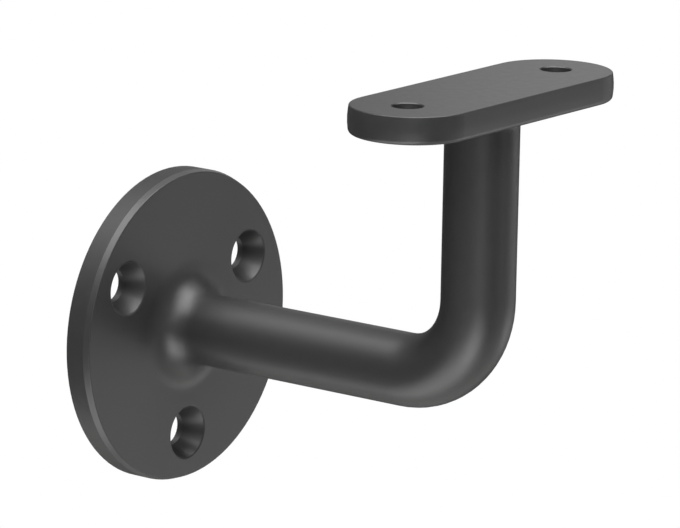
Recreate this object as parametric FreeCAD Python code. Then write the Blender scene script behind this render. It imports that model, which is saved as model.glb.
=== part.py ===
import FreeCAD, Part
import math
import os

# Handrail bracket, cast in one piece: a round wall plate, a round arm that turns up
# through a right angle, and a flat round-ended saddle that carries the rail.
# Sizes are millimetres. The origin is the centre of the wall plate's back face.
# +X leaves the wall, Y runs along the wall and the rail, +Z is up.

# Wall plate
PLATE_DIAMETER = 70.0
PLATE_THICK = 6.0
PLATE_BREAK_DEPTH = 1.4  # front edge break, along the plate's thickness
PLATE_BREAK_WIDTH = 0.5  # the same edge break, inwards from the rim

# Countersunk screw holes in the wall plate
WALL_HOLE_COUNT = 3
WALL_HOLE_DIAMETER = 7.5
WALL_SINK_DIAMETER = 12.0
WALL_SINK_DEPTH = 4.5
WALL_SINK_TO_RIM = 4.5  # metal between a countersink's mouth and the rim
LOWEST_HOLE_ANGLE = 270.0  # one hole is straight below the arm

# Arm, bend and upright, one round bar
BAR_DIAMETER = 16.0
BAR_REACH = 84.0  # wall to the upright's axis
BEND_RADIUS = 18.0  # to the bar's centre line
PLATE_FILLET = 6.5  # arm into wall plate
SADDLE_FILLET = 1.5  # upright into saddle

# Saddle, a flat bar whose rim is a shallow crown, widest halfway up
SADDLE_TOP = 64.0  # arm's axis to the face that the rail sits on
SADDLE_LENGTH = 77.6  # over the crown
SADDLE_WIDTH = 26.6  # over the crown
SADDLE_THICK = 6.0
SADDLE_RIM_LEAN = 8.0  # degrees that the crown leans in at the top and at the underside
SADDLE_LOWER_ROUND = 1.0

# Screw holes in the saddle, countersunk from below where the screws go in
RAIL_HOLE_DIAMETER = 6.6
RAIL_HOLE_TO_END = 11.8  # hole's axis to the saddle's end
RAIL_SINK_DIAMETER = 11.0
RAIL_SINK_DEPTH = 2.2

# Shared small sizes
SOFT_EDGE = 0.3  # radius that casting and coating leave on the plate's and the saddle's outer edges
HOLE_BREAK = 0.2  # chamfer that takes the burr off a hole's rim
FILLET_MARGIN = 0.3  # flat metal kept between a fillet and the next feature
OVERRUN = 1.0  # how far a tool runs past the face that it cuts or joins

X_AXIS = FreeCAD.Vector(1, 0, 0)
Y_AXIS = FreeCAD.Vector(0, 1, 0)
Z_AXIS = FreeCAD.Vector(0, 0, 1)

bar_radius = BAR_DIAMETER / 2
bend_start = BAR_REACH - BEND_RADIUS
saddle_underside = SADDLE_TOP - SADDLE_THICK
wall_hole_circle_radius = PLATE_DIAMETER / 2 - WALL_SINK_TO_RIM - WALL_SINK_DIAMETER / 2
rail_hole_offset = SADDLE_LENGTH / 2 - RAIL_HOLE_TO_END

# The rim's section is two straight flanks whose corner, the crest, is rounded by the crown's radius
rim_lean = math.radians(SADDLE_RIM_LEAN)
crown_radius = (SADDLE_THICK / 2 - SADDLE_LOWER_ROUND) / math.tan(rim_lean)
crest_half_width = SADDLE_WIDTH / 2 + crown_radius * (1 / math.cos(rim_lean) - 1)
face_half_width = crest_half_width - SADDLE_THICK / 2 * math.tan(rim_lean)


def rounded_face(corners):
    """Face in the XZ plane from (x, z, radius) corners, each rounded by its own radius."""
    points = [FreeCAD.Vector(x, 0, z) for x, z, radius in corners]
    count = len(corners)
    edges = []
    pen = None
    first = None
    for i in range(count):
        corner = points[i]
        before = (points[i - 1] - corner).normalize()
        after = (points[(i + 1) % count] - corner).normalize()
        radius = corners[i][2]
        if radius > 0:
            half_angle = before.getAngle(after) / 2
            setback = radius / math.tan(half_angle)
            to_centre = radius / math.sin(half_angle)
            arc_start = corner + before * setback
            arc_middle = corner + (before + after).normalize() * (to_centre - radius)
            arc_end = corner + after * setback
        else:
            arc_start = corner
            arc_end = corner
        if pen is None:
            first = arc_start
        else:
            edges.append(Part.makeLine(pen, arc_start))
        if radius > 0:
            edges.append(Part.Arc(arc_start, arc_middle, arc_end).toShape())
        pen = arc_end
    edges.append(Part.makeLine(pen, first))
    return Part.Face(Part.Wire(edges))


def turned(face, axis, angle=360):
    """Solid of a face turned round an axis through the origin."""
    return face.revolve(FreeCAD.Vector(0, 0, 0), axis, angle)


def plate_and_arm():
    """Wall plate, the fillet at the arm's root and the straight arm, turned about X."""
    rim = PLATE_DIAMETER / 2
    sink_inner_edge = wall_hole_circle_radius - WALL_SINK_DIAMETER / 2
    root_fillet = min(PLATE_FILLET, sink_inner_edge - bar_radius - FILLET_MARGIN)
    section = rounded_face([
        (0, 0, 0),
        (0, rim, 0),
        (PLATE_THICK - PLATE_BREAK_DEPTH, rim, 0),
        (PLATE_THICK, rim - PLATE_BREAK_WIDTH, SOFT_EDGE),
        (PLATE_THICK, bar_radius, root_fillet),
        (bend_start, bar_radius, 0),
        (bend_start, 0, 0),
    ])
    return turned(section, X_AXIS)


def bend():
    """Quarter turn of the bar, from along X to straight up."""
    outline = Part.makeCircle(bar_radius, FreeCAD.Vector(bend_start, 0, 0), X_AXIS)
    pivot = FreeCAD.Vector(bend_start, 0, BEND_RADIUS)
    return Part.Face(Part.Wire(outline)).revolve(pivot, Y_AXIS * -1, 90)


def upright():
    """Upright bar with the fillet that spreads it under the saddle."""
    flat_half_width = face_half_width - SADDLE_LOWER_ROUND
    fillet = min(SADDLE_FILLET, flat_half_width - bar_radius - FILLET_MARGIN)
    foot = bar_radius + fillet + FILLET_MARGIN
    section = rounded_face([
        (0, BEND_RADIUS, 0),
        (bar_radius, BEND_RADIUS, 0),
        (bar_radius, saddle_underside, fillet),
        (foot, saddle_underside, 0),
        (foot, saddle_underside + OVERRUN, 0),
        (0, saddle_underside + OVERRUN, 0),
    ])
    post = turned(section, Z_AXIS)
    post.translate(X_AXIS * BAR_REACH)
    return post


def saddle_plate():
    """Bar with full round ends: the rim's section turned half round each end and drawn between."""
    crest_height = (saddle_underside + SADDLE_TOP) / 2
    end_section = rounded_face([
        (0, saddle_underside, 0),
        (face_half_width, saddle_underside, SADDLE_LOWER_ROUND),
        (crest_half_width, crest_height, crown_radius),
        (face_half_width, SADDLE_TOP, SOFT_EDGE),
        (0, SADDLE_TOP, 0),
    ])
    bar_section = rounded_face([
        (-face_half_width, SADDLE_TOP, SOFT_EDGE),
        (-crest_half_width, crest_height, crown_radius),
        (-face_half_width, saddle_underside, SADDLE_LOWER_ROUND),
        (face_half_width, saddle_underside, SADDLE_LOWER_ROUND),
        (crest_half_width, crest_height, crown_radius),
        (face_half_width, SADDLE_TOP, SOFT_EDGE),
    ])
    end_offset = (SADDLE_LENGTH - SADDLE_WIDTH) / 2
    far_end = turned(end_section, Z_AXIS, 180)
    far_end.translate(Y_AXIS * end_offset)
    near_end = turned(end_section, Z_AXIS, -180)
    near_end.translate(Y_AXIS * -end_offset)
    middle = bar_section.extrude(Y_AXIS * (2 * end_offset))
    middle.translate(Y_AXIS * -end_offset)
    saddle = middle.fuse([far_end, near_end])
    saddle.translate(X_AXIS * BAR_REACH)
    return saddle


def screw_hole(hole_diameter, sink_diameter, sink_depth, thick):
    """Tool for a countersunk hole along Z through a plate from z = 0 to its mouth at z = thick."""
    hole_radius = hole_diameter / 2
    sink_radius = sink_diameter / 2
    section = rounded_face([
        (0, -OVERRUN, 0),
        (hole_radius, -OVERRUN, 0),
        (hole_radius, thick - sink_depth, 0),
        (sink_radius, thick, 0),
        (sink_radius, thick + OVERRUN, 0),
        (0, thick + OVERRUN, 0),
    ])
    return turned(section, Z_AXIS)


def wall_holes():
    """Tools for the wall plate's holes, evenly spaced, with their mouths on the front face."""
    tools = []
    for i in range(WALL_HOLE_COUNT):
        angle = math.radians(LOWEST_HOLE_ANGLE + i * 360 / WALL_HOLE_COUNT)
        y = wall_hole_circle_radius * math.cos(angle)
        z = wall_hole_circle_radius * math.sin(angle)
        tool = screw_hole(WALL_HOLE_DIAMETER, WALL_SINK_DIAMETER, WALL_SINK_DEPTH, PLATE_THICK)
        tool.rotate(FreeCAD.Vector(0, 0, 0), Y_AXIS, 90)
        tool.translate(FreeCAD.Vector(0, y, z))
        tools.append(tool)
    return tools


def rail_holes():
    """Tools for the saddle's two holes, with their mouths on the underside."""
    tools = []
    for y in (-rail_hole_offset, rail_hole_offset):
        tool = screw_hole(RAIL_HOLE_DIAMETER, RAIL_SINK_DIAMETER, RAIL_SINK_DEPTH, SADDLE_THICK)
        tool.rotate(FreeCAD.Vector(0, 0, 0), X_AXIS, 180)
        tool.translate(FreeCAD.Vector(BAR_REACH, y, SADDLE_TOP))
        tools.append(tool)
    return tools


def is_circle(edge, radius, axis, level):
    """Whether an edge is a full circle of this radius, square to an axis at this level."""
    if not isinstance(edge.Curve, Part.Circle):
        return False
    right_size = abs(edge.Curve.Radius - radius) < 0.001
    right_place = abs(edge.Curve.Center.dot(axis) - level) < 0.001
    square = abs(abs(edge.Curve.Axis.dot(axis)) - 1) < 0.001
    return right_size and right_place and square


def hole_rims(body):
    """The sharp rims where holes break the plate's front and the face that carries the rail."""
    rims = []
    for edge in body.Edges:
        on_plate = is_circle(edge, WALL_SINK_DIAMETER / 2, X_AXIS, PLATE_THICK)
        on_seat = is_circle(edge, RAIL_HOLE_DIAMETER / 2, Z_AXIS, SADDLE_TOP)
        if on_plate or on_seat:
            rims.append(edge)
    return rims


def bracket_casting():
    """The whole bracket as one solid."""
    body = plate_and_arm().fuse([bend(), upright(), saddle_plate()]).removeSplitter()
    body = body.cut(wall_holes() + rail_holes())
    return body.makeChamfer(HOLE_BREAK, hole_rims(body))


os.makedirs("parts", exist_ok=True)
casting = bracket_casting()
casting.exportStep("parts/bracket_casting.step")
box = casting.optimalBoundingBox(True, False)
print("bracket_casting", casting.ShapeType, "solids", len(casting.Solids), "valid", casting.isValid())
print("size", round(box.XLength, 3), round(box.YLength, 3), round(box.ZLength, 3))
print("volume mm3", round(casting.Volume, 1), "faces", len(casting.Faces))
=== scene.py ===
# %% [markdown]
# # A handrail bracket in satin black powder coat
# The bracket is one metal casting: a round wall plate, a round arm that turns up through a
# right angle, and a flat saddle with round ends that carries the rail. Its shape comes from the
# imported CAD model. It isn't modelled a second time here, because then two shapes would have to
# be kept alike. So this lesson is about what the eye reads next: the coating, the soft boxes
# that it mirrors, the dark cards between them, and the camera.

import math

import bmesh
import bpy
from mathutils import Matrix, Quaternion, Vector


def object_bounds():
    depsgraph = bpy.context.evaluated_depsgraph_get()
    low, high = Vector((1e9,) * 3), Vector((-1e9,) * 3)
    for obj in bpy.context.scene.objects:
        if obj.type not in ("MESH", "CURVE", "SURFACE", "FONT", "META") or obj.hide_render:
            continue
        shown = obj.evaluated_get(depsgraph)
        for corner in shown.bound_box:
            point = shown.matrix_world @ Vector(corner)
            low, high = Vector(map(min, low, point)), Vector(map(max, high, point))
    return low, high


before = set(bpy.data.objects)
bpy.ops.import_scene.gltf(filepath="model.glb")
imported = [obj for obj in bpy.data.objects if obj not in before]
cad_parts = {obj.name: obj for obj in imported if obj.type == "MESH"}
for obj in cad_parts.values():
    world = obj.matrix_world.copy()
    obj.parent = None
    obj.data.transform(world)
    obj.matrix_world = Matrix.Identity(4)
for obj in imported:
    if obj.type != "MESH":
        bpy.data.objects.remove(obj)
cad_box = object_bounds()
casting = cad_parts["bracket_casting"]
print("facets of the casting:", len(casting.data.polygons))

# %% [markdown]
# ## Millimetres and colours
# Blender works in metres here, and a workshop thinks in millimetres, so one factor turns one into
# the other. Colours are written as sRGB hex values, as a paint card gives them. A shader wants
# linear light, and one function does that sum, so no colour is guessed twice.

# %% Helpers for length and colour
MM = 0.001


def linear_colour(hex_colour):
    """An sRGB hex colour as linear red, green, blue and alpha."""
    channels = [int(hex_colour[i:i + 2], 16) / 255 for i in (1, 3, 5)]
    linear = [c / 12.92 if c <= 0.04045 else ((c + 0.055) / 1.055) ** 2.4 for c in channels]
    return (*linear, 1.0)


low, high = (Vector(corner) for corner in cad_box)
print("bracket, mm:", [round(side / MM, 1) for side in high - low])
print("#808080 in linear light:", round(linear_colour("#808080")[0], 3))

# %% [markdown]
# ## One way to add a node
# A material is a tree of nodes. Each node has settings, such as a mode, and sockets, which take
# either a value or a link from another node. One small function does all three, so that a
# material below reads as a list of what feeds what.

# %% Helper for nodes


def add_node(tree, kind, settings=None, inputs=None):
    """Adds a node. An input is a value, or the output socket of another node.

    Inputs go by name, or by number where several share one name.
    """
    node = tree.nodes.new(kind)
    for name, value in (settings or {}).items():
        setattr(node, name, value)
    for name, value in (inputs or {}).items():
        if isinstance(value, bpy.types.NodeSocket):
            tree.links.new(value, node.inputs[name])
        else:
            node.inputs[name].default_value = value
    return node


def new_material(name):
    """An empty material with its output node."""
    material = bpy.data.materials.new(name)
    material.use_nodes = True
    material.node_tree.nodes.clear()
    output = material.node_tree.nodes.new("ShaderNodeOutputMaterial")
    return material, material.node_tree, output


print("helpers:", add_node.__name__, "and", new_material.__name__)

# %% [markdown]
# ## The coating: satin black polyester powder coat
# Powder is sprayed on dry and melted in an oven. It flows into a film about 0.08 mm thick, which
# is never quite flat: it keeps long, very low waves, known as orange peel, and a fine grain from
# the matting agent. The eye sees a charcoal that is nearly neutral, with wide soft highlights
# that waver a little along the bar. A flat colour would miss all of that.
#
# Two noises carry it. The orange peel has waves about 2 mm long and a micrometre or two high. The
# grain of the real film is near 0.05 mm, too fine to show here, so it is drawn at 0.35 mm. The
# same waves change the colour and the roughness a little, because the film is darker and
# smoother where it lies thick. A photograph of a coating could carry all this too, but it would
# have to be unwrapped over the bend. Noise in the object's own millimetres fits every face.
#
# The melted film also evens out the bar and gathers in the hollow at its root, so the root runs
# softly into the plate. That could be modelled, but the mesh belongs to the CAD model, and a
# film this thin hardly changes its size. A Bevel node does it in the light alone: it averages
# the direction of the surface over a couple of millimetres, which also hides the seam in the
# turned bar's facets. It works on the bar and its root only, so that the plate's edge, the holes
# and the saddle stay crisp.

# %% Powder coat
COAT_COLOUR = "#232323"
COAT_COLOUR_THICK = "#202020"  # where the film flowed together
COAT_ROUGHNESS = 0.40
COAT_ROUGHNESS_SPREAD = 0.012
COAT_IOR = 1.46
PEEL_WAVE = 2.0 * MM
PEEL_HEIGHT = 0.0015 * MM
PEEL_DETAIL = 1.0  # finer waves that the noise adds to its first ones
PEEL_DETAIL_STRENGTH = 0.4  # of those, against the first ones
GRAIN_SIZE = 0.35 * MM
GRAIN_HEIGHT = 0.0005 * MM
GRAIN_DETAIL = 2.0
GRAIN_DETAIL_STRENGTH = 0.5
NOISE_LOW = 0.3  # nearly all of a noise lies between these two
NOISE_HIGH = 0.7
FLOW_RADIUS = 2.5 * MM
FLOW_SAMPLES = 8  # rays that the Bevel node sends out to find the surface around
BAR_START = 6.5 * MM  # out from the wall: just clear of the plate's front
BAR_END = 57.9 * MM  # up from the arm's axis: just short of the saddle
ROOT_RADIUS = 16.0 * MM  # round the arm's axis: past the root's hollow, short of the holes
# The Mix node's sockets for colour, which share their names with its other sockets
MIX_FIRST_COLOUR = 6
MIX_SECOND_COLOUR = 7
MIX_COLOUR_RESULT = 2


def flow_radius(tree, place):
    """How far the film evens out the surface: FLOW_RADIUS on the bar and its root, else 0."""
    spot = add_node(tree, "ShaderNodeSeparateXYZ", inputs={"Vector": place})
    off_plate = add_node(tree, "ShaderNodeMath", {"operation": "GREATER_THAN"}, {
        0: spot.outputs["X"], 1: BAR_START})
    below_saddle = add_node(tree, "ShaderNodeMath", {"operation": "LESS_THAN"}, {
        0: spot.outputs["Z"], 1: BAR_END})
    on_bar = add_node(tree, "ShaderNodeMath", {"operation": "MULTIPLY"}, {
        0: off_plate.outputs["Value"], 1: below_saddle.outputs["Value"]})
    across = add_node(tree, "ShaderNodeVectorMath", {"operation": "MULTIPLY"}, {
        0: place, 1: (0, 1, 1)})
    from_axis = add_node(tree, "ShaderNodeVectorMath", {"operation": "LENGTH"}, {
        0: across.outputs["Vector"]})
    at_root = add_node(tree, "ShaderNodeMath", {"operation": "LESS_THAN"}, {
        0: from_axis.outputs["Value"], 1: ROOT_RADIUS})
    either = add_node(tree, "ShaderNodeMath", {"operation": "MAXIMUM"}, {
        0: on_bar.outputs["Value"], 1: at_root.outputs["Value"]})
    radius = add_node(tree, "ShaderNodeMath", {"operation": "MULTIPLY"}, {
        0: either.outputs["Value"], 1: FLOW_RADIUS})
    return radius.outputs["Value"]


def powder_coat():
    """Satin black powder coat over cast metal."""
    material, tree, output = new_material("satin_powder_coat")
    place = add_node(tree, "ShaderNodeTexCoord").outputs["Object"]
    peel = add_node(tree, "ShaderNodeTexNoise", inputs={
        "Vector": place, "Scale": 1 / PEEL_WAVE,
        "Detail": PEEL_DETAIL, "Roughness": PEEL_DETAIL_STRENGTH})
    grain = add_node(tree, "ShaderNodeTexNoise", inputs={
        "Vector": place, "Scale": 1 / GRAIN_SIZE,
        "Detail": GRAIN_DETAIL, "Roughness": GRAIN_DETAIL_STRENGTH})
    colour = add_node(tree, "ShaderNodeMix", {"data_type": "RGBA"}, {
        "Factor": peel.outputs["Fac"],
        MIX_FIRST_COLOUR: linear_colour(COAT_COLOUR),
        MIX_SECOND_COLOUR: linear_colour(COAT_COLOUR_THICK)})
    roughness = add_node(tree, "ShaderNodeMapRange", inputs={
        "Value": peel.outputs["Fac"],
        "From Min": NOISE_LOW, "From Max": NOISE_HIGH,
        "To Min": COAT_ROUGHNESS + COAT_ROUGHNESS_SPREAD,
        "To Max": COAT_ROUGHNESS - COAT_ROUGHNESS_SPREAD})
    flowed = add_node(tree, "ShaderNodeBevel", {"samples": FLOW_SAMPLES}, {
        "Radius": flow_radius(tree, place)})
    waves = add_node(tree, "ShaderNodeBump", inputs={
        "Height": peel.outputs["Fac"], "Distance": PEEL_HEIGHT,
        "Normal": flowed.outputs["Normal"]})
    surface = add_node(tree, "ShaderNodeBump", inputs={
        "Height": grain.outputs["Fac"], "Distance": GRAIN_HEIGHT,
        "Normal": waves.outputs["Normal"]})
    coat = add_node(tree, "ShaderNodeBsdfPrincipled", inputs={
        "Base Color": colour.outputs[MIX_COLOUR_RESULT],
        "Roughness": roughness.outputs["Result"],
        "IOR": COAT_IOR,
        "Normal": surface.outputs["Normal"]})
    tree.links.new(coat.outputs["BSDF"], output.inputs["Surface"])
    return material


coat_material = powder_coat()
casting.data.materials.clear()
casting.data.materials.append(coat_material)
print("coating:", coat_material.name, "on", casting.name)

# %% [markdown]
# ## The floor
# A bracket hangs on a wall about a metre and a half above the floor. The floor is a plain pale
# disc that deep, so its shadow is as soft as in a real room, and it ends before it would come
# into the picture. A square would do as well, but a disc ends equally far away on every side.
# One operator draws its rim as a ring of points and fills it in.

# %% Floor
FLOOR_DROP = 1.5
FLOOR_RADIUS = 3.0
FLOOR_CORNERS = 96
FLOOR_COLOUR = "#f4f4f2"


def matt_material(name, hex_colour):
    """A plain matt surface for things that stand in the studio."""
    material, tree, output = new_material(name)
    matt = add_node(tree, "ShaderNodeBsdfDiffuse", inputs={"Color": linear_colour(hex_colour)})
    tree.links.new(matt.outputs["BSDF"], output.inputs["Surface"])
    return material


def staged_object(name, shape, material):
    """Turns a bmesh into an object of the studio, which isn't part of the bracket."""
    mesh = bpy.data.meshes.new(name)
    shape.to_mesh(mesh)
    shape.free()
    mesh.materials.append(material)
    thing = bpy.data.objects.new(name, mesh)
    bpy.context.scene.collection.objects.link(thing)
    return thing


floor_shape = bmesh.new()
bmesh.ops.create_circle(floor_shape, cap_ends=True, segments=FLOOR_CORNERS, radius=FLOOR_RADIUS)
bmesh.ops.translate(floor_shape, verts=floor_shape.verts, vec=(0, 0, -FLOOR_DROP))
floor = staged_object("floor", floor_shape, matt_material("pale_floor_paint", FLOOR_COLOUR))
print("floor:", FLOOR_DROP, "m below the arm")

# %% [markdown]
# ## Soft boxes
# A dark satin surface shows little colour of its own. What gives it form are the wide soft
# highlights, each a blurred picture of a lamp. Two soft boxes overlap above the bracket, and one
# lies low in front of it and lights the underside of the arm and the bend. Four small round lamps
# add the accents: the two bright spots at the arm's root, and the streak down the upright. A
# picture of a studio wrapped round the scene would light it too, but lamps can be placed and
# measured one by one.
#
# A lamp's brightness is written as radiance, the value that its picture would have in a mirror.
# Blender wants watts, which is that radiance times the lamp's area times pi.

# %% Lamps
LAMP_DISTANCE = 1.3  # metres, of the round lamps
STUDIO_CENTRE = Vector((0.045, 0, 0.015))
SOFT_BOXES = {
    # name: centre in metres, width and depth in metres, radiance, -1 to shine down or 1 up
    "soft_box_over_saddle": ((0.195, 0.24, 1.0), (0.30, 0.47), 10.0, -1),
    "soft_box_over_arm": ((0.125, -0.39, 1.0), (1.39, 0.88), 6.1, -1),
    "soft_box_low": ((0.025, -0.87, -0.90), (1.23, 1.33), 2.9, 1),
}
ROUND_LAMPS = {
    # name: degrees round from the arm's direction, slope, half angle in degrees, radiance
    # A slope is the sine of the angle above level, below level when it is negative.
    "round_lamp_root": (28, 0.82, 11.8, 7.4),
    "round_lamp_front": (307, 0.45, 17.0, 1.3),
    "round_lamp_low": (311, -0.60, 15.8, 5.2),
    "round_lamp_side": (56, -0.45, 7.5, 2.7),
}


def add_lamp(name, shape, sides, radiance, place, facing):
    """An area lamp of a known radiance, which shines along its facing vector."""
    width, depth = sides
    lamp = bpy.data.lights.new(name, "AREA")
    lamp.shape = shape
    lamp.size = width
    if shape == "RECTANGLE":
        lamp.size_y = depth
        area = width * depth
    else:
        area = math.pi * width * width / 4
    lamp.energy = radiance * area * math.pi
    holder = bpy.data.objects.new(name, lamp)
    holder.location = place
    holder.rotation_mode = "QUATERNION"
    holder.rotation_quaternion = facing.to_track_quat("-Z", "Y")
    holder.visible_camera = False
    bpy.context.scene.collection.objects.link(holder)
    print(name, "at", round(lamp.energy, 1), "W")


for name, (centre, sides, radiance, facing) in SOFT_BOXES.items():
    add_lamp(name, "RECTANGLE", sides, radiance, Vector(centre), Vector((0, 0, facing)))

for name, (degrees_round, slope, half_angle, radiance) in ROUND_LAMPS.items():
    flat = math.sqrt(1 - slope * slope)
    turn = math.radians(degrees_round)
    outward = Vector((flat * math.cos(turn), flat * math.sin(turn), slope))
    width = 2 * LAMP_DISTANCE * math.tan(math.radians(half_angle))
    place = STUDIO_CENTRE + outward * LAMP_DISTANCE
    add_lamp(name, "DISK", (width, width), radiance, place, -outward)

# %% [markdown]
# ## Dark cards and a graded one
# With white all round, a black bar would turn into an even grey stick. Photographers stand dark
# cards round such a piece at the height of the horizon. The bar then keeps a dark band between
# its upper and its lower highlight. Each card here is a piece of a tall cylinder: an upright
# line spun part of the way round. Flat cards would do where they are narrow, but a curved one
# keeps its distance all the way. Each has a distance of its own, so that where two overlap, the
# nearer one is seen. The camera looks past them.
#
# The low card beside the bracket is graded from dark to nearly white, in six strips that stand
# edge to edge. With one dark card there, its far edge would show as a hard line down the
# upright's flank.

# %% Cards
CARDS = {
    # name: distance in metres, from and to in degrees round from the arm's direction,
    # bottom and top slope, colour
    "card_behind": (1.50, (88, 260), (-0.95, 0.14), "#606060"),
    "card_above_behind": (1.47, (125, 215), (0.14, 0.66), "#797979"),
    "card_in_front": (1.44, (218, 368), (-0.60, 0.485), "#7a7a7a"),
    "card_beside": (1.41, (-8, 109), (0.175, 0.595), "#4c4c4c"),
    "card_graded_1": (1.38, (20, 32), (-0.29, 0.35), "#545454"),
    "card_graded_2": (1.38, (32, 42), (-0.29, 0.35), "#828282"),
    "card_graded_3": (1.38, (42, 50), (-0.29, 0.19), "#b2b2b2"),
    "card_graded_4": (1.38, (50, 58), (-0.29, 0.19), "#dcdcdc"),
    "card_graded_5": (1.38, (58, 70), (-0.29, 0.19), "#e6e6e6"),
    "card_graded_6": (1.38, (70, 88), (-0.29, 0.19), "#cdcdcd"),
}
CARD_STEPS = 48

for name, (distance, (start, end), (bottom, top), hex_colour) in CARDS.items():
    card_shape = bmesh.new()
    heights = [distance * slope / math.sqrt(1 - slope * slope) for slope in (bottom, top)]
    turn = math.radians(start)
    foot = [Vector((distance * math.cos(turn), distance * math.sin(turn), z)) for z in heights]
    ends = [card_shape.verts.new(point) for point in foot]
    line = card_shape.edges.new(ends)
    bmesh.ops.spin(card_shape, geom=ends + [line], cent=(0, 0, 0), axis=(0, 0, 1),
                   angle=math.radians(end - start), steps=CARD_STEPS)
    bmesh.ops.translate(card_shape, verts=card_shape.verts, vec=STUDIO_CENTRE)
    card = staged_object(name, card_shape, matt_material(name + "_felt", hex_colour))
    card.visible_camera = False
    print(name, "from", round(heights[0], 2), "to", round(heights[1], 2), "m")

# %% [markdown]
# ## The room
# Everything past the cards and lamps is one even white, at strength 1, which Blender writes as
# pure white in the picture. White walls would do too, but a world has no corners to be mirrored.
# The same white is what the edges of the coating mirror at a flat angle.

# %% World
ROOM_COLOUR = "#ffffff"
ROOM_STRENGTH = 1.0

world = bpy.data.worlds.new("white_room")
bpy.context.scene.world = world
world.use_nodes = True
world.node_tree.nodes.clear()
room_light = add_node(world.node_tree, "ShaderNodeBackground", inputs={
    "Color": linear_colour(ROOM_COLOUR), "Strength": ROOM_STRENGTH})
world_output = add_node(world.node_tree, "ShaderNodeOutputWorld")
world.node_tree.links.new(room_light.outputs["Background"], world_output.inputs["Surface"])
bpy.context.scene.view_settings.view_transform = "Standard"
print("room:", world.name)

# %% [markdown]
# ## The camera
# The picture was taken from a metre away with a long lens, from the front right and a little
# above, with the camera held about a degree off level. The camera could be given three bare
# rotations, but they say nothing to a reader. So its direction is built from the two angles of
# the view, and the roll is a last turn about the line of sight.

# %% Camera
VIEW_AZIMUTH = math.radians(36.53)  # round from straight along the wall
VIEW_ELEVATION = math.radians(13.10)
VIEW_ROLL = math.radians(1.025)
VIEW_DISTANCE = 1.0069  # metres
AIM = Vector((0.04258, 0.00662, 0.01848))
LENS = 244.75  # Blender gives a lens and its sensor in millimetres
SENSOR_WIDTH = 36.0

to_camera = Vector((
    math.sin(VIEW_AZIMUTH) * math.cos(VIEW_ELEVATION),
    -math.cos(VIEW_AZIMUTH) * math.cos(VIEW_ELEVATION),
    math.sin(VIEW_ELEVATION),
))
camera_data = bpy.data.cameras.new("camera")
camera_data.lens = LENS
camera_data.sensor_width = SENSOR_WIDTH
camera = bpy.data.objects.new("camera", camera_data)
camera.location = AIM + to_camera * VIEW_DISTANCE
camera.rotation_mode = "QUATERNION"
camera.rotation_quaternion = to_camera.to_track_quat("Z", "Y") @ Quaternion((0, 0, 1), VIEW_ROLL)
bpy.context.scene.collection.objects.link(camera)
bpy.context.scene.camera = camera
print("camera at", [round(v, 3) for v in camera.location])
